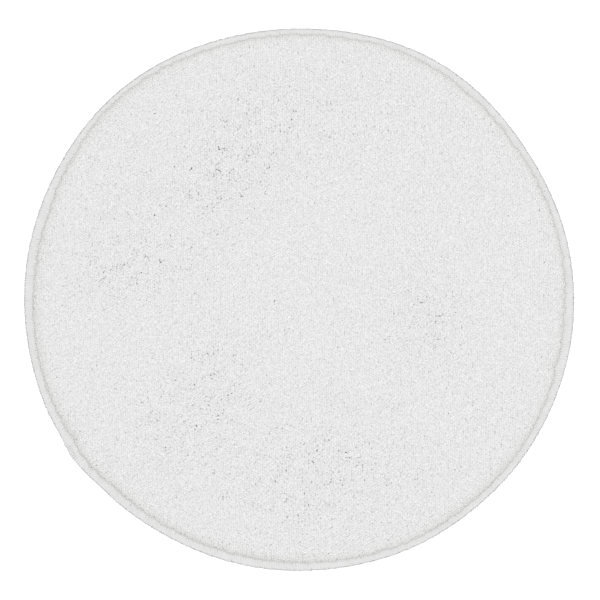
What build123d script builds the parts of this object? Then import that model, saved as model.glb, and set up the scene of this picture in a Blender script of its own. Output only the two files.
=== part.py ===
from build123d import *
from build123d.topology import SkipClean
import math
import os

# A round bath mat with a cut pile. From the floor up it is a moulded rubber grip sheet,
# a latex coat, a woven backing cloth and the pile that is tufted through that cloth.
# An overlocked edge wraps the rim of all four, and its two looper yarns lock together
# round the outside.
# Millimetres, +Z up. The origin is on the floor, under the centre of the mat, and +X
# points along the floor. Every piece but the lap stitches is a body of revolution.

# Overall sizes
mat_diameter = 600.0
pile_height = 13.0  # from the backing cloth to the tips of the tufts
shoulder_radius = 9.0  # the rounded rim of the pile, where the outer tufts lean out

# Layers under the pile
grip_dot_height = 0.5  # the dots that the grip sheet stands on
grip_web_thickness = 0.8  # the continuous rubber above the dots
latex_thickness = 0.4
backing_cloth_thickness = 0.4

# Overlocked edge
edging_width = 8.0  # from the needle line to the outside of the mat
crushed_pile_thickness = 1.2  # tufts pressed flat under the cover yarn
cover_yarn_thickness = 1.6  # the upper looper yarn, over the rim
wrap_thickness = 1.6  # both looper yarns, where they go round the outside
edging_round = 1.8  # the outer corner of the edging, above and below
needle_thread_width = 0.8  # the line of stitches against the foot of the pile
needle_thread_sink = 0.5  # how deep those stitches pull into the cover yarn
needle_thread_round = 0.4  # its free corner
ring_sectors = 16  # each ring of the edging is turned in this many equal sectors

# Lap, where the end of the edging is sewn over its start
lap_length = 26.0  # along the rim
lap_thickness = 0.8
lap_margin = 0.6  # cover yarn left bare beside the needle thread
lap_round = 0.5
lap_position = 214.5  # degrees from +X, about +Z

# Radii and levels that follow from the sizes above
mat_radius = mat_diameter / 2
needle_line_radius = mat_radius - edging_width
core_radius = mat_radius - wrap_thickness
thread_outer_radius = needle_line_radius + needle_thread_width
web_level = grip_dot_height
latex_level = web_level + grip_web_thickness
cloth_level = latex_level + latex_thickness
pile_level = cloth_level + backing_cloth_thickness
pile_top = pile_level + pile_height
cover_level = pile_level + crushed_pile_thickness
edging_top = cover_level + cover_yarn_thickness
thread_level = edging_top - needle_thread_sink
lock_level = (web_level + edging_top) / 2  # where the two looper yarns meet
shoulder = min(shoulder_radius, pile_top - edging_top)  # the pile stays upright beside the seam


def section(*points):
    """A closed outline of (radius, height) points, as a face in the XZ plane."""
    return make_face(Polyline(*points, close=True))


def rounded(face, radius, *points):
    """The same outline with the corners at these (radius, height) points rounded."""
    corners = [face.vertices().sort_by_distance((*point, 0))[0] for point in points]
    return fillet(corners, radius)


def turned(face, angle=360.0):
    """A section turned about the mat's axis."""
    return revolve(Plane.XZ * face, Axis.Z, angle)


def ring(face):
    """A section turned into a ring, as equal sectors joined with their faces kept apart.

    The seams between the sectors divide each long thin face evenly round the mat.
    """
    step = 360 / ring_sectors
    first, *others = [Rot(Z=step * i) * turned(face, step) for i in range(ring_sectors)]
    with SkipClean():
        return first + others


def layer(low, high):
    """A flat layer that reaches into the edging."""
    return turned(section((0, low), (core_radius, low), (core_radius, high), (0, high)))


def make_grip_sheet():
    """Rubber sheet. Its dots are a plain layer here, and the edging takes their place at the rim."""
    return turned(
        section(
            (0, 0),
            (needle_line_radius, 0),
            (needle_line_radius, web_level),
            (core_radius, web_level),
            (core_radius, latex_level),
            (0, latex_level),
        )
    )


def make_pile():
    """Cut pile, with the rim of crushed tufts that the edging holds down."""
    outline = section(
        (0, pile_level),
        (core_radius, pile_level),
        (core_radius, cover_level),
        (needle_line_radius, cover_level),
        (needle_line_radius, pile_top),
        (0, pile_top),
    )
    return turned(rounded(outline, shoulder, (needle_line_radius, pile_top)))


def make_edge_cover_yarn():
    """Upper looper yarn: from the needle line over the rim and down to the lock."""
    outline = section(
        (needle_line_radius, cover_level),
        (core_radius, cover_level),
        (core_radius, lock_level),
        (mat_radius, lock_level),
        (mat_radius, edging_top),
        (thread_outer_radius, edging_top),
        (thread_outer_radius, thread_level),
        (needle_line_radius, thread_level),
    )
    return ring(rounded(outline, edging_round, (mat_radius, edging_top)))


def make_edge_under_yarn():
    """Lower looper yarn: from the needle line under the rim and up to the lock."""
    outline = section(
        (needle_line_radius, 0),
        (mat_radius, 0),
        (mat_radius, lock_level),
        (core_radius, lock_level),
        (core_radius, web_level),
        (needle_line_radius, web_level),
    )
    return ring(rounded(outline, edging_round, (mat_radius, 0)))


def make_edge_needle_thread():
    """Needle thread: the line of stitches that holds both looper yarns."""
    outline = section(
        (needle_line_radius, thread_level),
        (thread_outer_radius, thread_level),
        (thread_outer_radius, edging_top),
        (needle_line_radius, edging_top),
    )
    return ring(rounded(outline, needle_thread_round, (thread_outer_radius, edging_top)))


def make_edge_lap_stitches():
    """Second pass of cover stitches, over the first where the edging closes on itself."""
    inner = thread_outer_radius + lap_margin
    outer = mat_radius - edging_round
    top = edging_top + lap_thickness
    outline = section((inner, edging_top), (outer, edging_top), (outer, top), (inner, top))
    angle = math.degrees(lap_length / mat_radius)
    lap = turned(rounded(outline, lap_round, (inner, top), (outer, top)), angle)
    return Rot(Z=lap_position - angle / 2) * lap


nodes = {
    "grip_sheet": make_grip_sheet(),
    "latex_coat": layer(latex_level, cloth_level),
    "backing_cloth": layer(cloth_level, pile_level),
    "pile": make_pile(),
    "edge_cover_yarn": make_edge_cover_yarn(),
    "edge_under_yarn": make_edge_under_yarn(),
    "edge_needle_thread": make_edge_needle_thread(),
    "edge_lap_stitches": make_edge_lap_stitches(),
}

os.makedirs("parts", exist_ok=True)
for name, solid in nodes.items():
    export_step(solid, f"parts/{name}.step")
    print(name, round(solid.volume), "mm3")
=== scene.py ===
# %% [markdown]
# # A round bath mat with a cut pile
#
# The mat is thousands of short ends of soft yarn that stand on a woven cloth. A coat of
# latex holds them, a rubber sheet with dots stops the mat slipping, and an overlocked edge
# closes the rim. Almost all that the eye sees is yarn, so here the yarn is real geometry,
# worked out with NumPy, and the materials only add what is finer than a yarn.
#
# The first step loads the plain solids that fix the mat's size. Each piece below takes its
# levels from them, and then stands in for one of them.

# %% Load the frame
import math

import bpy
import numpy as np
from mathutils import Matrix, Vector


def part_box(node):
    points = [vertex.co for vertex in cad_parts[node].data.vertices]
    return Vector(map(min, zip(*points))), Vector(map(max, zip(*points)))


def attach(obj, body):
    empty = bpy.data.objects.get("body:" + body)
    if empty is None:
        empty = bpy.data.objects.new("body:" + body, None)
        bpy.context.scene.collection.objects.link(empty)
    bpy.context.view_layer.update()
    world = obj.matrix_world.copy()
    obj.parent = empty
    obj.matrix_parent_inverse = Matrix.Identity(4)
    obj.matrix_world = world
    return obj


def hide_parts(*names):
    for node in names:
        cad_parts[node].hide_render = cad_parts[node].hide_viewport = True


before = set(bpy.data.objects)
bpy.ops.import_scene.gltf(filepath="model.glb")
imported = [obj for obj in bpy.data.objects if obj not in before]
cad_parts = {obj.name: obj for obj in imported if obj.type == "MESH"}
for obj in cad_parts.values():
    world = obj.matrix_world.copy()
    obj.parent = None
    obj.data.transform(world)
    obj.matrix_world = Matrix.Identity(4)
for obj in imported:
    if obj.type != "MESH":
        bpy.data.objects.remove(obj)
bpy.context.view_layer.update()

MM = 0.001  # Blender works in metres here, and yarn is easier to think of in millimetres

mat_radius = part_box("edge_cover_yarn")[1].x
edging_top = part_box("edge_cover_yarn")[1].z
lock_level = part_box("edge_under_yarn")[1].z
web_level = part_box("edge_under_yarn")[0].z + 0.5 * MM
latex_level, cloth_level = (corner.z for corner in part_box("latex_coat"))
cloth_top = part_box("backing_cloth")[1].z
pile_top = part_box("pile")[1].z
lap_low, lap_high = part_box("edge_lap_stitches")
print(f"radius {mat_radius / MM:.1f}, pile top {pile_top / MM:.1f}, edging {edging_top / MM:.1f} mm")

# %% [markdown]
# ## How the rim wanders
#
# A mat is cut out with a worn die and fed past the overlock machine by hand, so its outline
# is never a true circle. It could be drawn as a list of points, but a few waves round the
# circle say the same and are easier to change: two waves a turn make it oval, and five make
# it faintly five-sided. The foot of the pile wanders more than the outline does, because
# the seam rolls the rim in one place and the tufts fall over it in another, and it kinks
# where the machine was started and stopped.

# %% Waves, bumps and ripples round the rim
def waves(angle, table):
    """The sum of waves, each (how many a turn, height in mm, degrees to one crest)."""
    return MM * sum(high * np.cos(n * angle - math.radians(crest)) for n, high, crest in table)


def bumps(angle, table):
    """The sum of single bumps, each (degrees, half-width in degrees, height in mm)."""
    total = 0
    for degrees, width, high in table:
        away = (np.degrees(angle) - degrees + 180) % 360 - 180
        total = total + MM * high * np.exp(-((away / width) ** 2))
    return total


def ripple(angle, seed, most, height):
    """Random unevenness of about this height, with up to this many waves a turn."""
    dice = np.random.default_rng(seed)
    counts = dice.integers(most // 4, most, 40)
    crests = dice.uniform(0, 2 * math.pi, 40)
    return height * sum(np.cos(n * angle - c) for n, c in zip(counts, crests)) / math.sqrt(20)


# %% The outline of the mat
lap_angle = math.atan2(lap_low.y + lap_high.y, lap_low.x + lap_high.x)
LAP = math.degrees(lap_angle)
OUTLINE_WAVES = (
    (2, 1.7, -10),
    (3, 0.3, -150),
    (4, 0.6, -165),
    (5, 1.0, -50),
    (6, 0.4, 35),
    (7, 0.4, 75),
    (9, 0.3, 130),
)
OUTLINE_BUMPS = (
    (LAP - 5.5, 3.0, -0.6),
    (LAP, 1.3, 0.6),
    (LAP, 2.5, 0.9),
    (LAP + 4, 4, 1.0),
    (LAP + 9, 4, -0.8),
    (-10, 10, 0.8),
    (-65, 9, 0.5),
    (-38, 6, 0.4),
)


def rim(angle):
    """Radius of the outside of the edging."""
    even = mat_radius + 0.2 * MM + waves(angle, OUTLINE_WAVES) + bumps(angle, OUTLINE_BUMPS)
    return even + ripple(angle, 4, 220, 0.12 * MM)


turn = np.radians(np.arange(0, 360, 0.5))
print(f"rim {rim(turn).min() / MM:.1f} to {rim(turn).max() / MM:.1f} mm from the centre")

# %% The foot of the pile
EDGING_SHOWS = 7.9 * MM
FOOT_WAVES = ((1, 0.9, -113), (2, 1.0, 41), (4, 0.5, -46), (6, 0.5, -77), (7, 0.4, 42))
FOOT_KINKS = (
    (-15.4, 0.7, 1.5),
    (-13.9, 2.2, 1.3),
    (-4, 4, 1.2),
    (36, 1.5, 1.6),
    (51, 3, 1.4),
    (146, 2.2, 1.6),
    (161, 2.5, 1.0),
    (80, 3.5, 0.9),
    (200, 14, -0.8),
    (LAP - 2, 2.0, 1.6),
    (LAP + 6, 3.0, -1.4),
)


def edging_shows(angle):
    """Width of edging that shows between the rim and the lowest tufts."""
    even = EDGING_SHOWS + waves(angle, FOOT_WAVES) + bumps(angle, FOOT_KINKS)
    return even + ripple(angle, 3, 150, 0.35 * MM)


print(f"edging shows {edging_shows(turn).min() / MM:.1f} to {edging_shows(turn).max() / MM:.1f} mm")

# %% [markdown]
# ## Strands
#
# A tuft, a wrap of yarn, a stitch and a rubber dot have the same plan: a closed strand,
# which is a row of rings along a line with a point at each end. Adding tens of thousands
# of them through Blender's operators would take hours, and instances would leave nothing to
# export. So one function makes any number of strands at once as arrays.
#
# Each strand also gets two maps. The first unrolls it into a square of its own, which is
# what a baker needs. The second measures along and round the yarn in millimetres, so that
# a pattern can follow the twist.

# %% The faces of one strand
def corner_places(corners):
    """The (ring, side) of every corner of a set of faces, as (face, corner, 2)."""
    return np.stack([np.stack(np.broadcast_arrays(*pair), -1) for pair in corners], 1) * 1.0


def strand_faces(rings, sides):
    """The walls between the rings of a strand, and the fans that close its two ends."""
    ring, side = (part.ravel() for part in np.indices((rings - 1, sides)))
    walls = ((ring, side), (ring, side + 1), (ring + 1, side + 1), (ring + 1, side))
    side = np.arange(sides)
    low = ((0, side + 1), (0, side), (-1, side + 0.5))
    high = ((rings - 1, side), (rings - 1, side + 1), (rings, side + 0.5))
    return corner_places(walls), np.concatenate([corner_places(low), corner_places(high)])


walls, fans = strand_faces(rings=3, sides=5)
print(f"a strand of 3 rings with 5 sides has {len(walls)} walls and {len(fans)} end faces")

# %% Many closed strands at once
YARN_ROUND = 6.0  # millimetres round a yarn, which the second map is drawn for


def strands(centre, across, up, sides, ends=None):
    """Closed strands from rings. centre, across and up are (strand, ring, xyz).

    across and up are the two half-widths of each ring, and across x up points along the
    strand. ends are the two points that close each strand.
    """
    count, rings, _ = centre.shape
    spoke = np.arange(sides) * 2 * math.pi / sides
    loops = centre[:, :, None] + np.cos(spoke)[:, None] * across[:, :, None]
    loops = loops + np.sin(spoke)[:, None] * up[:, :, None]
    ends = centre[:, [0, -1]] if ends is None else ends
    points = np.concatenate([loops.reshape(count, -1, 3), ends], axis=1)

    steps = np.linalg.norm(np.diff(centre, axis=1), axis=2).cumsum(axis=1) / MM
    along = np.concatenate([np.zeros((count, 1)), steps], axis=1)
    along = along + np.random.default_rng(count).uniform(0, 50, (count, 1))
    made = {"count": count, "points": points.reshape(-1, 3), "faces": []}
    for places in strand_faces(rings, sides):
        ring, side = places[..., 0], places[..., 1]
        number = np.where(ring == rings, rings * sides + 1, ring * sides + side % sides)
        number = np.where(ring < 0, rings * sides, number).astype(int)
        first = np.arange(count)[:, None, None] * (rings * sides + 2)
        square = np.stack([side / sides, (ring + 1) / (rings + 1)], -1)
        yarn_y = along[:, np.clip(ring, 0, rings - 1).astype(int)]
        yarn_x = np.broadcast_to(side / sides * YARN_ROUND, yarn_y.shape)
        made["faces"].append((first + number, square, np.stack([yarn_x, yarn_y], -1)))
    return made


# %% [markdown]
# A piece is one or more bundles of strands. Each strand could be an object of its own, but
# tens of thousands of objects would choke the scene, so a piece's strands share one mesh and
# are handed to it in one go. The piece rides on the mat, takes the material it is given, and
# stands in for one plain solid.

# %% Gather bundles of strands for one mesh
def gather(bundles):
    """The points, corners and face sizes of some bundles, and both their maps.

    Every strand gets one square of the bake map, in a grid with room for all of them.
    """
    grid = math.ceil(math.sqrt(sum(bundle["count"] for bundle in bundles)))
    corners, sizes, squares, yarns = [], [], [], []
    first_point = first_strand = 0
    for bundle in bundles:
        for numbers, square, yarn in bundle["faces"]:
            strand = first_strand + np.arange(bundle["count"])[:, None, None]
            corner = np.stack([strand % grid, strand // grid], -1)
            squares.append(((corner + 0.04 + 0.92 * square) / grid).reshape(-1, 2))
            yarns.append(yarn.reshape(-1, 2))
            corners.append((first_point + numbers).ravel())
            sizes.append(np.full(numbers.size // numbers.shape[-1], numbers.shape[-1]))
        first_point += len(bundle["points"])
        first_strand += bundle["count"]
    maps = {"OFBake": np.concatenate(squares), "yarn_mm": np.concatenate(yarns)}
    points = np.concatenate([bundle["points"] for bundle in bundles])
    return points, np.concatenate(corners), np.concatenate(sizes), maps


# %% A piece from bundles of strands
def new_piece(name, bundles, material, stands_for, own_maps=True):
    """A mesh piece that rides on the mat and stands in for one plain solid."""
    points, corners, sizes, maps = gather(bundles)
    mesh = bpy.data.meshes.new(name)
    mesh.vertices.add(len(points))
    mesh.vertices.foreach_set("co", points.astype(np.float32).ravel())
    mesh.loops.add(len(corners))
    mesh.loops.foreach_set("vertex_index", corners.astype(np.int32))
    mesh.polygons.add(len(sizes))
    mesh.polygons.foreach_set("loop_start", (np.cumsum(sizes) - sizes).astype(np.int32))
    mesh.polygons.foreach_set("use_smooth", np.ones(len(sizes), bool))
    if own_maps:
        for map_name, places in maps.items():
            layer = mesh.uv_layers.new(name=map_name)
            layer.data.foreach_set("uv", places.astype(np.float32).ravel())
    mesh.update(calc_edges=True)
    mesh.materials.append(material)

    piece = bpy.data.objects.new(name, mesh)
    bpy.context.scene.collection.objects.link(piece)
    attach(piece, "root")
    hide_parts(stands_for)
    print(f"{name}: {sum(bundle['count'] for bundle in bundles)} strands, {len(sizes)} faces")
    return piece


# %% [markdown]
# ## Colours and nodes
#
# Colours are written as the hex values that a paint shop or a browser uses, and one
# function turns them into the linear light that a renderer works in. One more function adds
# any node with its settings and links, so each material below reads as a short recipe.

# %% Colour and node helpers
def linear(hex_colour):
    """A hex sRGB colour as linear red, green, blue and alpha."""
    parts = [int(hex_colour[i : i + 2], 16) / 255 for i in (1, 3, 5)]
    return [p / 12.92 if p <= 0.04045 else ((p + 0.055) / 1.055) ** 2.4 for p in parts] + [1]


def add(tree, kind, inputs=None, **settings):
    """A node with these settings, and its inputs set to values or linked to sockets."""
    node = tree.nodes.new("ShaderNode" + kind)
    for name, value in settings.items():
        setattr(node, name, value)
    for socket, value in (inputs or {}).items():
        if isinstance(value, bpy.types.NodeSocket):
            tree.links.new(value, node.inputs[socket])
        else:
            node.inputs[socket].default_value = value
    return node


def new_material(name, **sockets):
    """A material, its node tree and its shader, with the shader's plain values set."""
    made = bpy.data.materials.new(name)
    made.use_nodes = True
    shader = made.node_tree.nodes["Principled BSDF"]
    for socket, value in sockets.items():
        shader.inputs[socket.replace("_", " ")].default_value = value
    return made, made.node_tree, shader


def finish_material(tree, shader, colour, roughness, bump):
    """Links a material's colour, roughness and bump to its shader."""
    tree.links.new(colour, shader.inputs["Base Color"])
    tree.links.new(roughness, shader.inputs["Roughness"])
    tree.links.new(bump.outputs["Normal"], shader.inputs["Normal"])


# %% [markdown]
# ## Microfibre pile yarn
#
# The pile is polyester microfibre, spun from filaments far finer than a hair and cut with a
# blade. The cut ends scatter light every way, so the yarn is fully matt, with the faint
# bright veil that fine fibres have where they are seen edge on. That veil is the shader's
# sheen. White yarn is brightened at the mill, so the tips are neutral, and no two cut ends
# are quite as bright. Lower down the yarn is painted a little warmer and darker. This is
# painted shade, for the light that reaches deep between the tufts only off other yarn, and
# it also darkens the lower tufts on the shoulder of the pile. A picture of fibres could be
# wrapped on every tuft instead, but a pattern worked out from where a point lies needs no
# picture and never repeats.

# %% Pile yarn: tone of the cut ends, and painted shade lower down
TUFT_PITCH = 2.6 * MM
PAINTED_SHADE_BELOW = 1 * MM  # painted shade starts this far below the top of the pile; above it a yarn is as bright as its tip
YARN_END = 1.1 * MM  # across one cut end, and each end has a tone of its own

pile_yarn, tree, shader = new_material(
    "cut_microfibre_pile", IOR=1.5, Specular_IOR_Level=0.2, Sheen_Weight=0.15, Sheen_Roughness=0.6
)
place = add(tree, "TexCoord").outputs["Object"]
height = add(tree, "SeparateXYZ", {"Vector": place}).outputs["Z"]
raised = add(
    tree,
    "MapRange",
    {"Value": height, "From Min": cloth_top, "From Max": pile_top - PAINTED_SHADE_BELOW},
)
yarn_ends = add(tree, "TexVoronoi", {"Vector": place, "Scale": 1 / YARN_END})
end_tone = add(tree, "SeparateColor", {"Color": yarn_ends.outputs["Color"]})
tips = add(
    tree,
    "Mix",
    {"Factor": end_tone.outputs["Red"], "A": linear("#E3E3E3"), "B": linear("#F7F7F7")},
    data_type="RGBA",
)
# Painted shade: the lower the yarn, the more its colour is mixed towards a darker, warmer grey.
yarn_colour_and_painted_shade = add(
    tree,
    "Mix",
    {"Factor": raised.outputs["Result"], "A": linear("#D5D4D1"), "B": tips.outputs["Result"]},
    data_type="RGBA",
)

# %% Pile yarn: matt finish and fuzz
FIBRE_CLUMP = 0.6 * MM  # drawn coarser than the 0.01 mm filaments, which nothing can show
fibres = add(tree, "TexNoise", {"Vector": place, "Scale": 1 / FIBRE_CLUMP, "Detail": 2.0})
matt = add(tree, "MapRange", {"Value": fibres.outputs["Fac"], "To Min": 0.85, "To Max": 1.0})
surface = add(
    tree,
    "Math",
    {0: fibres.outputs["Fac"], 1: yarn_ends.outputs["Distance"]},
    operation="SUBTRACT",
)
fuzz = add(tree, "Bump", {"Height": surface.outputs[0], "Strength": 1.0, "Distance": 0.3 * MM})
finish_material(tree, shader, yarn_colour_and_painted_shade.outputs["Result"], matt.outputs["Result"], fuzz)
print(f"pile yarn: cut ends {YARN_END / MM:.1f} mm across, {len(tree.nodes)} nodes")

# %% [markdown]
# ## Overlock yarn and sewing thread
#
# The edging is sewn with textured polyester, a crimped yarn that spreads out and covers the
# cut edge. It is a little glossier than the pile, because its filaments lie side by side.
# The needle thread is spun and hard-twisted. Both show their twist, as bands that run
# slantwise round the yarn, so the pattern is drawn on the map in millimetres.

# %% Edging and thread materials
LINT = 0.4 * MM  # clumps of fibre on a yarn
YARN_SHADE = 9 * MM  # the edging's tone drifts over about this length


def twisted_yarn(name, dark, light, twist_mm, roughness, relief):
    """A yarn whose plies cross it slantwise once in every twist_mm."""
    made, tree, shader = new_material(name, IOR=1.54, Specular_IOR_Level=0.35, Sheen_Weight=0.1)
    place = add(tree, "TexCoord").outputs["Object"]
    yarn = add(tree, "UVMap", uv_map="yarn_mm").outputs["UV"]
    # A diagonal band repeats every 0.628 of a unit at scale 1.
    plies = add(
        tree,
        "TexWave",
        {"Vector": yarn, "Scale": 0.628 / twist_mm, "Distortion": 1.5, "Detail": 2.0},
        bands_direction="DIAGONAL",
    )
    lint = add(tree, "TexNoise", {"Vector": place, "Scale": 1 / LINT, "Detail": 2.0})
    shade = add(tree, "TexNoise", {"Vector": place, "Scale": 1 / YARN_SHADE, "Detail": 3.0})
    colour = add(
        tree,
        "Mix",
        {"Factor": shade.outputs["Fac"], "A": linear(dark), "B": linear(light)},
        data_type="RGBA",
    )
    matt = add(
        tree,
        "MapRange",
        {"Value": lint.outputs["Fac"], "To Min": roughness, "To Max": roughness + 0.15},
    )
    rough = add(tree, "Math", {0: plies.outputs["Fac"], 1: lint.outputs["Fac"]}, operation="ADD")
    bump = add(tree, "Bump", {"Height": rough.outputs[0], "Strength": 0.5, "Distance": relief * MM})
    finish_material(tree, shader, colour.outputs["Result"], matt.outputs["Result"], bump)
    return made


edging_yarn = twisted_yarn("textured_polyester_edging", "#DBDBDB", "#EBEBEB", 1.6, 0.7, 0.15)
needle_thread = twisted_yarn("spun_polyester_thread", "#DCDCDB", "#EDEDEC", 0.6, 0.6, 0.06)
print(f"yarn and thread: {edging_yarn.name}, {needle_thread.name}")

# %% [markdown]
# ## Backing cloth
#
# None of the three layers below the pile shows from above, but whoever turns the mat over
# sees the rubber, and the others show where a layer is lifted or the pile is parted. The
# cloth is plain-woven polypropylene tape, flat and a little glossy, whose crossings
# alternate like a chessboard. Weaving the tapes as strands would be lost under the pile, so
# a checker picks at each crossing which of two crossed waves lies on top.

# %% Woven polypropylene tape
TAPE_WIDTH = 1.3 * MM
woven_tape, tree, shader = new_material("woven_polypropylene_tape", IOR=1.49)
place = add(tree, "TexCoord").outputs["Object"]
crossing = add(tree, "TexChecker", {"Vector": place, "Scale": 1 / TAPE_WIDTH})
# A straight band repeats every 0.314 of a unit at scale 1.
warp, weft = (
    add(tree, "TexWave", {"Vector": place, "Scale": 0.314 / TAPE_WIDTH}, bands_direction=way)
    for way in "XY"
)
weave = add(
    tree,
    "Mix",
    {"Factor": crossing.outputs["Fac"], 2: warp.outputs["Fac"], 3: weft.outputs["Fac"]},
)
cloth_colour = add(
    tree,
    "Mix",
    {"Factor": weave.outputs[0], "A": linear("#CFCDC6"), "B": linear("#E4E2DC")},
    data_type="RGBA",
)
tape_gloss = add(tree, "MapRange", {"Value": weave.outputs[0], "To Min": 0.65, "To Max": 0.45})
relief = add(tree, "Bump", {"Height": weave.outputs[0], "Distance": 0.15 * MM})
finish_material(tree, shader, cloth_colour.outputs["Result"], tape_gloss.outputs["Result"], relief)
print(f"backing cloth: {woven_tape.name}, tapes {TAPE_WIDTH / MM:.1f} mm wide")

# %% [markdown]
# ## Latex and rubber
#
# The latex is rolled on wet and dries cream-coloured, with a leathery skin. The rubber is
# moulded, and takes the fine spark-eroded grain of its mould. Both are plain elastic layers
# that differ only in tone, in how coarse their grain is and in how much they shine, so one
# function makes both.

# %% Dried latex and moulded rubber
TONE_PATCH = 40 * MM  # a poured or moulded layer is lighter here and darker there


def moulded_or_dried(name, dark, light, grain_mm, roughness, relief, ior):
    """A plain elastic layer: its tone drifts, and its skin has a grain of this size."""
    made, tree, shader = new_material(name, IOR=ior)
    place = add(tree, "TexCoord").outputs["Object"]
    tone = add(tree, "TexNoise", {"Vector": place, "Scale": 1 / TONE_PATCH, "Detail": 4.0})
    grain = add(tree, "TexNoise", {"Vector": place, "Scale": 1 / (grain_mm * MM), "Detail": 3.0})
    colour = add(
        tree,
        "Mix",
        {"Factor": tone.outputs["Fac"], "A": linear(dark), "B": linear(light)},
        data_type="RGBA",
    )
    skin = add(
        tree,
        "MapRange",
        {"Value": grain.outputs["Fac"], "To Min": roughness, "To Max": roughness + 0.2},
    )
    bump = add(tree, "Bump", {"Height": grain.outputs["Fac"], "Distance": relief * MM})
    finish_material(tree, shader, colour.outputs["Result"], skin.outputs["Result"], bump)
    return made


dried_latex = moulded_or_dried("dried_latex", "#CFC9B8", "#DDD8CA", 2.5, 0.45, 0.15, 1.52)
grip_rubber = moulded_or_dried("moulded_rubber", "#D3D3CF", "#E0E0DC", 0.5, 0.55, 0.04, 1.5)
print(f"elastic layers: {dried_latex.name}, {grip_rubber.name}")

# %% [markdown]
# ## The three sheets below the pile
#
# The rubber web, the latex and the cloth are flat sheets, each cut to the wandering rim. A
# sheet could be a cylinder scaled to size, but then it would stick out where the rim dips.
# Instead each is one wide, low strand: its rings go out along the bottom and back along the
# top, and then every point is pushed out or in to follow the rim. A sheet has no maps of its
# own, because its pattern is drawn straight from its place in space.

# %% A sheet that follows the rim
LAYER_INSET = 1.6 * MM  # the edging yarn takes this much of the radius all round


def sheet(low, high):
    """A bundle of one strand: a closed sheet between two levels, cut to follow the rim."""
    steps = np.linspace(0.04, 1, 25)
    reach = np.concatenate([steps, steps[::-1]])
    level = np.concatenate([np.full(len(steps), low), np.full(len(steps), high)])
    blank = np.zeros_like(level)
    centre = np.stack([blank, blank, level], -1)[None]
    across = np.stack([reach, blank, blank], -1)[None]
    up = np.stack([blank, reach, blank], -1)[None]
    made = strands(centre, across, up, 360)
    angle = np.arctan2(made["points"][:, 1], made["points"][:, 0])
    made["points"][:, :2] *= (rim(angle) - LAYER_INSET)[:, None]
    return made


# %% The rubber web, the latex and the cloth
new_piece(
    "grip_web",
    [sheet(web_level, latex_level)],
    grip_rubber,
    "grip_sheet",
    own_maps=False,
)
new_piece(
    "latex_film",
    [sheet(latex_level, cloth_level)],
    dried_latex,
    "latex_coat",
    own_maps=False,
)
cloth = new_piece(
    "woven_backing",
    [sheet(cloth_level, cloth_top)],
    woven_tape,
    "backing_cloth",
    own_maps=False,
)
cloth_area = math.pi * float(np.mean((rim(turn) - LAYER_INSET) ** 2))
print(f"cloth {cloth_area:.4f} square metres")

# %% [markdown]
# ## Grip dots
#
# The rubber's raised dots are low domes on a triangular lattice. They could be cut from
# spheres and fused to the web, which is slow for thousands and looks no better. Each is a
# short strand instead, which starts inside the web and ends in a point on the floor. They
# stop short of the edging, where the mould ends.

# %% A triangular lattice
def lattice(pitch, reach, row_gap=None):
    """Points of a triangular lattice, row by row, out to this reach."""
    row_gap = row_gap or pitch * math.sqrt(0.75)
    rows, places = int(reach / row_gap) + 2, int(reach / pitch) + 2
    row, place = (part.ravel() for part in np.mgrid[-rows : rows + 1, -places : places + 1])
    return row * row_gap, (place + 0.5 * (row % 2)) * pitch


# %% The dots of the grip sheet
DOT_PITCH = 9 * MM
DOT_RADIUS = 2.1 * MM
DOT_MARGIN = 12 * MM  # bare web inside the rim

dot_x, dot_y = lattice(DOT_PITCH, mat_radius)
dot_angle, dot_reach = np.arctan2(dot_y, dot_x), np.hypot(dot_x, dot_y)
kept = dot_reach < rim(dot_angle) - DOT_MARGIN
dot_x, dot_y = dot_x[kept], dot_y[kept]
# A dome going down: (level above the floor, share of the dot's radius)
DOME = ((web_level + 0.15 * MM, 1.0), (web_level * 0.7, 0.97), (web_level * 0.22, 0.66))
dot_centre = np.stack([np.stack([dot_x, dot_y, dot_x * 0 + level], -1) for level, _ in DOME], 1)
dot_across = np.zeros_like(dot_centre)
dot_across[..., 0] = [DOT_RADIUS * share for _, share in DOME]
dot_up = -dot_across[..., [1, 0, 2]]
dot_ends = np.stack([dot_centre[:, 0], dot_centre[:, -1] * [1, 1, 0]], 1)
dots = strands(dot_centre, dot_across, dot_up, 8, ends=dot_ends)
new_piece("grip_dots", [dots], grip_rubber, "grip_sheet")

# %% [markdown]
# ## The overlocked edge
#
# An overlock machine lays one yarn back and forth over the top of the rim and another under
# it, and locks the two together round the outside. A needle thread ties both down along a
# line inside the rim. The wraps are so close that the edging looks like a smooth roll with
# faint ribs. A ring with a bump map would look right from far off but would have a clean
# edge, so each wrap is a strand here, and its path is drawn in the section of the rim as
# (millimetres in from the outside, millimetres above the floor).

# %% Wraps that follow a path over the rim
STITCHES = 690
stitch_angle = np.arange(STITCHES) * 2 * math.pi / STITCHES
STITCH_PITCH = 2 * math.pi * mat_radius / STITCHES


def cut_corners(path):
    """Rounds paths (strand, point, value) by cutting every corner, and keeps their ends."""
    near = 0.75 * path[:, :-1] + 0.25 * path[:, 1:]
    far = 0.25 * path[:, :-1] + 0.75 * path[:, 1:]
    cut = np.stack([near, far], 2).reshape(len(path), -1, path.shape[-1])
    return np.concatenate([path[:, :1], cut[:, 1:-1], path[:, -1:]], axis=1)


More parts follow.
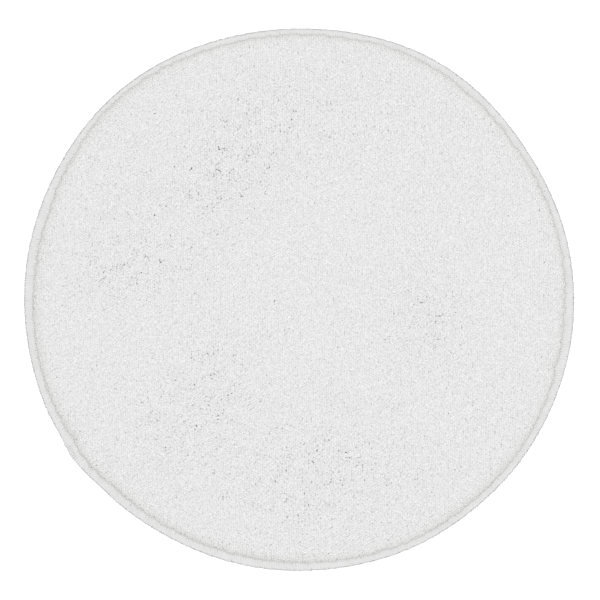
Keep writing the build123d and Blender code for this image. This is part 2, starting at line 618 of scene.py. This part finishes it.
def wraps(angle, path, half_width, half_thickness, slant, sides):
    """Strands along paths (strand, point, (inset, level)) at these angles round the rim.

    The half-widths are lists along the path. slant is how far a wrap goes round the rim
    from its first end to its last, in metres.
    """
    path = cut_corners(path)
    count, rings, _ = path.shape
    along = np.linspace(0, 1, rings)
    here = angle[:, None] + slant[:, None] * (along - 0.5) / mat_radius
    reach = rim(here) - path[..., 0]
    centre = np.stack([reach * np.cos(here), reach * np.sin(here), path[..., 1]], -1)
    ahead = np.gradient(centre, axis=1)
    ahead /= np.linalg.norm(ahead, axis=2, keepdims=True)
    sideways = np.stack([-np.sin(here), np.cos(here), here * 0], -1)
    outward = np.cross(ahead, sideways)
    outward /= np.linalg.norm(outward, axis=2, keepdims=True)
    sideways = np.cross(outward, ahead)
    width = np.interp(along, np.linspace(0, 1, len(half_width)), half_width)[:, None] * MM
    thickness = np.interp(along, np.linspace(0, 1, len(half_thickness)), half_thickness)
    plump = np.random.default_rng(count + rings).uniform(0.92, 1.08, (count, 1, 1))
    across, up = sideways * width * plump, outward * thickness[:, None] * MM * plump
    return strands(centre, across, up, sides)


# %% Paths over the rim that follow the foot of the pile
def rim_path(angle, points):
    """One path for each angle, as (inset, level) points over the rim.

    Each of the points given is (share, more, level): it lies this share of the edging that
    shows in from the rim, and this many millimetres more, so it can follow the foot of the
    pile, keep to the rim, or lie in between.
    """
    share, more, level = np.array(points).T
    inset = edging_shows(angle)[:, None] * share + more * MM
    return np.stack([inset, np.broadcast_to(level * MM, inset.shape)], -1)


# %% Cover yarn, over the top of the rim
dice = np.random.default_rng(21)
# From under the foot of the pile, up over the rim, and down to the knots outside
COVER = (
    (1, 2.2, 3.4),
    (1, 1.2, 4.05),
    (1, -0.7, 4.35),
    (0.66, 0, 4.4),
    (0.38, 0, 4.35),
    (0, 2.5, 3.8),
    (0, 1.8, 2.95),
    (0, 1.6, lock_level / MM - 0.4),
)
cover_path = rim_path(stitch_angle, COVER)
cover_path[..., 1] += dice.normal(0, 0.07, (STITCHES, 1)) * MM
cover_path[..., 0] += dice.normal(0, 0.08, (STITCHES, 1)) * MM
cover_slant = (0.9 + dice.normal(0, 0.25, STITCHES)) * STITCH_PITCH
cover_width = [1.2, 1.5, 1.6, 1.55, 1.3]
cover_thickness = [0.5, 0.65, 0.65, 0.6, 0.5]
cover = wraps(stitch_angle, cover_path, cover_width, cover_thickness, cover_slant, 9)
new_piece("edging_cover_wraps", [cover], edging_yarn, "edge_cover_yarn")

# %% [markdown]
# The lower yarn goes round the outside and under the rim. Where it catches each wrap of the
# cover yarn it makes a small knot, and the row of knots gives the outline its fine scallops.
# A real knot is two loops through each other. At this size it reads as one plump bead that
# lies along the rim, so that is what each one is.

# %% Under yarn
UNDER = ((1.0, 2.4), (0.95, 1.5), (1.3, 0.7), (2.2, 0.33), (4.0, 0.27), (6.5, 0.27), (8.3, 0.3))
under_path = np.broadcast_to(np.array(UNDER) * MM, (STITCHES, len(UNDER), 2)).copy()
under_path[:, :, 0] += dice.normal(0, 0.06, (STITCHES, 1)) * MM
under_slant = (-0.9 + dice.normal(0, 0.2, STITCHES)) * STITCH_PITCH
under = wraps(stitch_angle, under_path, [1.2, 1.3, 1.35, 1.3], [0.4, 0.28, 0.26], under_slant, 7)


# %% Short strands along the rim
def along_rim(angle, inset, level, length, half_width, half_thickness, sides):
    """Short strands that lie along the rim: knots, or the stitches of a seam."""
    share = np.array([-0.5, -0.3, 0, 0.3, 0.5])
    here = angle[:, None] + share * length / mat_radius
    dip = 0.3 * MM * (2 * share) ** 2
    reach = rim(here) - inset[:, None] - dip
    centre = np.stack([reach * np.cos(here), reach * np.sin(here), here * 0 + level[:, None]], -1)
    ahead = np.stack([-np.sin(here), np.cos(here), here * 0], -1)
    outward = np.stack([np.cos(here), np.sin(here), here * 0], -1)
    taper = np.array([0.55, 0.95, 1.0, 0.95, 0.55])[:, None]
    upward = np.cross(ahead, outward)
    return strands(centre, outward * taper * half_width, upward * taper * half_thickness, sides)


# %% The row of knots round the outside, half a stitch on from the wraps
knots = along_rim(
    stitch_angle + 0.5 * STITCH_PITCH / mat_radius,
    0.5 * MM + dice.normal(0, 0.1, STITCHES) * MM,
    lock_level - 0.1 * MM + dice.normal(0, 0.12, STITCHES) * MM,
    0.85 * STITCH_PITCH,
    0.65 * MM,
    0.5 * MM,
    6,
)
new_piece("edging_under_wraps", [under, knots], edging_yarn, "edge_under_yarn")

# %% [markdown]
# The needle thread makes a line of short stitches along the inner ends of the wraps. The
# lowest tufts fall over most of it, so it could almost be left out, but it shows between
# them here and there, and along its whole length where the pile is parted.

# %% Needle thread
needle = along_rim(
    stitch_angle,
    edging_shows(stitch_angle) + 1.0 * MM,
    np.full(STITCHES, edging_top - 0.35 * MM),
    0.95 * STITCH_PITCH,
    0.35 * MM,
    0.3 * MM,
    7,
)
new_piece("edging_needle_stitches", [needle], needle_thread, "edge_needle_thread")

# %% [markdown]
# The seam closes on itself with a short lap, where the end of the edging is sewn over its
# start. The second layer is a little proud, and its wraps lie askew because the operator
# steers off the rim at the end.

# %% Lap at the end of the seam
LAP_WRAPS = 13
lap_share = np.linspace(-1, 1, LAP_WRAPS)
lap_length = math.dist(lap_low[:2], lap_high[:2])
lap_turn = lap_angle + lap_share * lap_length / 2 / mat_radius
LAP_PATH = np.array([(6.8, 4.7), (5.6, 5.2), (3.8, 5.3), (2.2, 4.9), (0.9, 4.1), (0.5, 3.2)])
lap_path = np.broadcast_to(LAP_PATH * MM, (LAP_WRAPS, len(LAP_PATH), 2)).copy()
lap_path[..., 1] -= 0.5 * MM * lap_share[:, None] ** 2
lap_path[..., 0] += dice.normal(0, 0.3, (LAP_WRAPS, 1)) * MM + 0.4 * MM * lap_share[:, None]
lap_slant = (1.6 + dice.normal(0, 0.8, LAP_WRAPS)) * MM
lap = wraps(lap_turn, lap_path, [0.7, 1.1, 1.2, 1.0], [0.35, 0.45, 0.45, 0.4], lap_slant, 9)
new_piece("edging_lap_wraps", [lap], edging_yarn, "edge_lap_stitches")

# %% [markdown]
# ## The pile
#
# A tufting machine has a row of needles, so tufts stand in rows, but their yarn opens when
# it is cut and the rows can't be told apart. The pile could be a displaced surface, or hair
# particles. A surface has no gaps for the light to sink into, and hair leaves no mesh to
# hand on. So every tuft is a strand of its own: narrow at the root, wide at the cut end,
# and domed where the fibres fan out.
#
# The tufts are laid out flat first, as if the pile were spread on a table, and then the
# outer ones are turned down over a quarter of an ellipse. That keeps them equally dense
# over the shoulder, where the pile rounds down to the edging.

# %% The shoulder of the pile
SHOULDER_WIDE = 14 * MM
FOOT_LEVEL = edging_top - 0.1 * MM
shoulder_high = pile_top - 0.5 * MM - FOOT_LEVEL
# Ramanujan's first formula for the length of a quarter of an ellipse
a, b = SHOULDER_WIDE, shoulder_high
shoulder_length = math.pi / 4 * (3 * (a + b) - math.sqrt((3 * a + b) * (a + 3 * b)))
print(f"shoulder {shoulder_high / MM:.1f} mm high, {shoulder_length / MM:.1f} mm over its curve")

# %% [markdown]
# A pile that has been folded for storage, walked on and brushed opens here and there: its
# tufts stand less evenly, and gaps show between them. Each opened patch is a soft oval, and
# a finer drift breaks it up, because a clean oval would look painted on.

# %% Smooth drift over the mat
def drift(x, y, size, seed):
    """Smooth random values of about -1 to 1 over the mat, in patches of about this size."""
    dice = np.random.default_rng(seed)
    total = 0
    for _ in range(30):
        heading, phase = dice.uniform(0, 2 * math.pi, 2)
        length = size * dice.uniform(1.2, 3.5)
        across = x * math.cos(heading) + y * math.sin(heading)
        total = total + np.cos(across * 2 * math.pi / length + phase)
    return total / math.sqrt(15)


# %% Where the pile has opened
# (x, y, half-width, half-length, degrees, how far from 0 to 1), with lengths in mm
PATCHES = (
    (-78, 138, 52, 42, 20, 0.7),
    (-195, 32, 60, 40, 0, 0.6),
    (-190, 120, 45, 40, 0, 0.25),
    (142, -30, 42, 48, -10, 0.75),
    (15, -190, 150, 62, 0, 0.6),
    (-105, -105, 80, 48, 38, 0.6),
    (-10, 200, 100, 50, 0, 0.45),
    (-110, 60, 60, 90, 10, 0.25),
)
PATCH_GRAIN = 9 * MM  # a patch breaks up about this finely


def opened(x, y):
    """How far the pile has opened here, from 0 to about 1."""
    total = 0
    for middle_x, middle_y, wide, long, degrees, share in PATCHES:
        cos, sin = math.cos(math.radians(degrees)), math.sin(math.radians(degrees))
        dx, dy = x / MM - middle_x, y / MM - middle_y
        over = (dx * cos + dy * sin) / wide
        along = (dy * cos - dx * sin) / long
        total = total + share * np.exp(-(over**2 + along**2))
    return total * np.clip(1 + 0.6 * drift(x, y, PATCH_GRAIN, 5), 0, None)


print(f"{len(PATCHES)} opened patches")

# %% Lay the tufts out
FOOT_TUCK = 1.3 * MM  # the last tufts stand this far in from where the edging shows
ROW_GAP = TUFT_PITCH * 0.93  # rows are a little closer together than the tufts in a row
SPARE = 12 * MM  # the layout starts larger than it needs, and what is past the foot is dropped

dice = np.random.default_rng(7)
flat_x, flat_y = lattice(TUFT_PITCH, mat_radius + SPARE, ROW_GAP)
stray = (0.09 + 0.06 * opened(flat_x, flat_y)) * TUFT_PITCH
flat_x = flat_x + dice.normal(0, 1, len(flat_x)) * stray
flat_y = flat_y + dice.normal(0, 1, len(flat_y)) * stray
angle, reach = np.arctan2(flat_y, flat_x), np.hypot(flat_x, flat_y)
foot = rim(angle) - edging_shows(angle) - FOOT_TUCK
past = (reach - (foot - SHOULDER_WIDE)) / shoulder_length
kept = past <= 1
flat_x, flat_y, angle, reach, foot, past = (
    part[kept] for part in (flat_x, flat_y, angle, reach, foot, past)
)
bend = np.clip(past, 0, 1) * math.pi / 2
print(f"{len(reach)} tufts, {TUFT_PITCH / MM:.1f} mm apart")

# %% [markdown]
# Use and brushing leave their mark. The blade cuts no two tufts to the same height, and in
# the opened patches they differ more and some are crushed short. A short tuft leaves a pit
# among its neighbours, and those pits are the dark specks. The whole pile leans a little,
# and the way it leans turns slowly over the mat, which is its nap.

# %% Height, crushed tufts and lean
CRUSHED_LEAST, CRUSHED_MORE = 0.004, 0.16  # share of tufts on a closed pile, and more where open
UNEVEN_LEAST, UNEVEN_MORE = 0.05, 0.3  # millimetres of unevenness, and more where open
NAP_HEADING, NAP_TURN = 60, 25  # degrees at the middle, and how much it turns by the rim

openness = opened(flat_x, flat_y)
crushed = dice.uniform(0, 1, len(reach)) < CRUSHED_LEAST + CRUSHED_MORE * openness
shorter = np.where(crushed, dice.uniform(0.5, 1.4, len(reach)), 0) * MM
shorter = shorter + np.abs(dice.normal(0, UNEVEN_LEAST + UNEVEN_MORE * openness)) * MM
shorter = shorter - 0.04 * MM * drift(flat_x, flat_y, 14 * MM, 6)

lean_to = np.radians(NAP_HEADING + NAP_TURN * flat_x / mat_radius)
lean_to = lean_to + 0.3 * drift(flat_x, flat_y, 90 * MM, 8)
lean = (1.6 + 0.3 * drift(flat_x, flat_y, 25 * MM, 9)) * MM * np.cos(bend)
print(f"{crushed.sum()} tufts crushed, lean {lean.min() / MM:.1f} to {lean.max() / MM:.1f} mm")

# %% [markdown]
# On the flat of the pile a tip stands over its root, apart from the lean. On the shoulder
# the roots stay further in than the tips, so the tufts fan outwards, and the last of them
# reach out over the edging by different amounts. That makes the foot of the pile soft and
# frayed, not a clean step.

# %% Roots and tips
ROOTS_OUT = 0.86  # the last root is this share of the shoulder's width out
SPILL = 0.8 * MM
FRAY = 1.5  # millimetres by which the lowest tips fall short of that

root_reach = np.where(past > 0, foot - SHOULDER_WIDE * (1 - ROOTS_OUT * np.sin(bend)), reach)
tip_reach = np.where(past > 0, foot - SHOULDER_WIDE * (1 - np.sin(bend)), reach)
tip_level = FOOT_LEVEL + shoulder_high * np.cos(bend)
root = np.stack([root_reach * np.cos(angle), root_reach * np.sin(angle), angle * 0 + cloth_top], -1)
tip = np.stack([tip_reach * np.cos(angle), tip_reach * np.sin(angle), tip_level], -1)
outward = np.stack([np.cos(angle) * np.sin(bend), np.sin(angle) * np.sin(bend), np.cos(bend)], -1)
tip = tip - outward * shorter[:, None]
nap = np.stack([np.cos(lean_to), np.sin(lean_to), lean_to * 0], -1)
tip = tip + nap * lean[:, None]
at_foot = (np.sin(bend) ** 6)[:, None]  # 1 for the last tufts, and near 0 higher up
frayed = np.abs(dice.normal(0, FRAY, (len(reach), 1))) * MM * at_foot
tip = tip + outward * (SPILL * at_foot - frayed)
tip = tip + dice.normal(0, 0.1, tip.shape) * MM * [1, 1, 0.3]
print(f"tips {tip[:, 2].min() / MM:.1f} to {tip[:, 2].max() / MM:.1f} mm above the floor")

# %% [markdown]
# Each tuft is three rings and two points: a ring at the root, a wider one where the yarn
# has opened, a small one near the top, and a point at each end. The rings are squeezed and
# turned at random, so no two ends are alike, and on the shoulder the ends face outwards. The
# tufts are wider than they are far apart, so neighbours run into each other and close the
# pile, as crowded yarn does.

# %% The shape of a tuft
TIP_RADIUS = 2.3 * MM
ROOT_RADIUS = 1.7 * MM
WIDEST_BELOW = 1.7 * MM  # the widest ring is this far below the tip
DOME_BELOW = 0.26 * MM  # the ring that rounds the end is this far below it
DOME_SHARE = 0.58  # and this share of the widest


def tufts(root, tip, outward, nap, fullness, dice):
    """A bundle with one strand for each tuft, drawn out along the nap."""
    count = len(root)
    axis = tip - root
    axis /= np.linalg.norm(axis, axis=1, keepdims=True)
    axis = axis + outward * 0.5
    axis /= np.linalg.norm(axis, axis=1, keepdims=True)
    across = np.cross(axis, nap + dice.normal(0, 0.35, (count, 3)))
    across /= np.linalg.norm(across, axis=1, keepdims=True)
    up = np.cross(axis, across)
    radius = TIP_RADIUS * fullness[:, None] * dice.uniform(0.95, 1.05, (count, 1))
    squeeze = dice.uniform(0.85, 1.0, (count, 1))
    centre = np.stack([root, tip - axis * WIDEST_BELOW, tip - axis * DOME_BELOW], 1)
    wide = np.stack([np.full((count, 1), ROOT_RADIUS), radius, radius * DOME_SHARE], 1)
    ends = np.stack([root, tip + dice.normal(0, 0.06, tip.shape) * MM], 1)
    squeezed = across[:, None] * wide * squeeze[:, None]
    spread = up[:, None] * wide / squeeze[:, None]
    return strands(centre, squeezed, spread, 5, ends)


# %% Make the tufts, in groups of rows
GROUPS = 13  # one mesh with every tuft would be too heavy
# Tufts are thinner where the pile has opened, and at its foot.
fullness = (1 - 0.06 * openness) * (1 - 0.1 * np.sin(bend) ** 4)
row_order = np.argsort(flat_x, kind="stable")
for group, members in enumerate(np.array_split(row_order, GROUPS), 1):
    dice = np.random.default_rng(100 + group)
    bundle = tufts(*(part[members] for part in (root, tip, outward, nap, fullness)), dice)
    new_piece(f"pile_rows_{group:02d}", [bundle], pile_yarn, "pile")

# %% [markdown]
# Under the edging lies the outermost pile, which the seam presses flat. It only shows as
# fibres in the gaps between wraps, but without it the gaps would be holes.

# %% Pile that the edging presses flat
dice = np.random.default_rng(31)
pressed_angle = np.arange(2 * STITCHES) * math.pi / STITCHES
# It lies high at the foot of the pile, where it is still pile, and low under the wraps.
PRESSED = ((1, 4.0, 4.4), (1, 1.4, 4.4), (0.5, 0, 3.0), (0, 2.0, 2.7))
pressed_path = rim_path(pressed_angle, PRESSED)
pressed_path = pressed_path + dice.normal(0, 0.08, (2 * STITCHES, 1, 2)) * MM
pressed_slant = dice.normal(0, 0.8, 2 * STITCHES) * MM
pressed = wraps(pressed_angle, pressed_path, [0.8, 0.9, 0.8], [0.5, 0.6, 0.5], pressed_slant, 6)
new_piece("pile_pressed_rim", [pressed], pile_yarn, "pile")

# %% [markdown]
# The cloth carries everything else.

# %% [markdown]
# ## Studio
#
# The mat is white on white, so the light has to be soft but not flat. A bright sky all
# round fills the gaps, and one large lamp almost overhead lights every tip alike, so that
# what darkens is only what lies deep: the pits, and the crease at the foot of the pile. A
# lamp to one side would shade the tufts more, but would leave one side of the crease black.
# The floor is plain white paper that glows a little, as it does when a backdrop is lit on
# its own, so that it stays white beside the mat.

# %% Floor
paper, tree, shader = new_material("white_backdrop_paper", Roughness=1.0, Emission_Strength=0.45)
shader.inputs["Base Color"].default_value = linear("#F4F4F4")
shader.inputs["Emission Color"].default_value = linear("#FFFFFF")
FLOOR = 8.0  # metres across
floor_mesh = bpy.data.meshes.new("studio_floor")
half, drop = FLOOR / 2, -0.2 * MM
floor_points = [(-half, -half, drop), (half, -half, drop), (half, half, drop), (-half, half, drop)]
floor_mesh.from_pydata(floor_points, [], [(0, 1, 2, 3)])
floor_mesh.materials.append(paper)
floor = bpy.data.objects.new("studio_floor", floor_mesh)
bpy.context.scene.collection.objects.link(floor)
print(f"floor {FLOOR} m across, {-drop / MM:.1f} mm under the mat")

# %% Light
world = bpy.data.worlds.new("soft_white_studio")
world.use_nodes = True
sky = world.node_tree.nodes["Background"]
sky.inputs["Color"].default_value = linear("#FFFFFF")
sky.inputs["Strength"].default_value = 0.65
bpy.context.scene.world = world

key = bpy.data.lights.new("key_softbox", "AREA")
key.size = 2.4
key.energy = 65
key_lamp = bpy.data.objects.new("key_softbox", key)
key_lamp.location = (0.05, 0.05, 3.8)
aim = -key_lamp.location
key_lamp.rotation_euler = aim.to_track_quat("-Z", "Y").to_euler()
bpy.context.scene.collection.objects.link(key_lamp)
bpy.context.scene.view_settings.view_transform = "Standard"
print(f"lamp {key.size} m wide, {key_lamp.location.z} m up, {key.energy} W")

# %% [markdown]
# ## Camera
#
# The mat is seen from straight above, by a long lens well away from it, so that its sides
# hardly show. The lens is worked out from how much floor the picture takes in.

# %% Camera
CAMERA_HEIGHT = 3.0
PICTURE_WIDTH = 656.7 * MM
SENSOR = 36.0
camera = bpy.data.cameras.new("overhead_camera")
camera.sensor_width = SENSOR
camera.lens = SENSOR * (CAMERA_HEIGHT - edging_top) / PICTURE_WIDTH
overhead = bpy.data.objects.new("overhead_camera", camera)
overhead.location = (1.4 * MM, -1.1 * MM, CAMERA_HEIGHT)  # a hair off the middle of the mat
bpy.context.scene.collection.objects.link(overhead)
bpy.context.scene.camera = overhead
print(f"lens {camera.lens:.1f} mm")
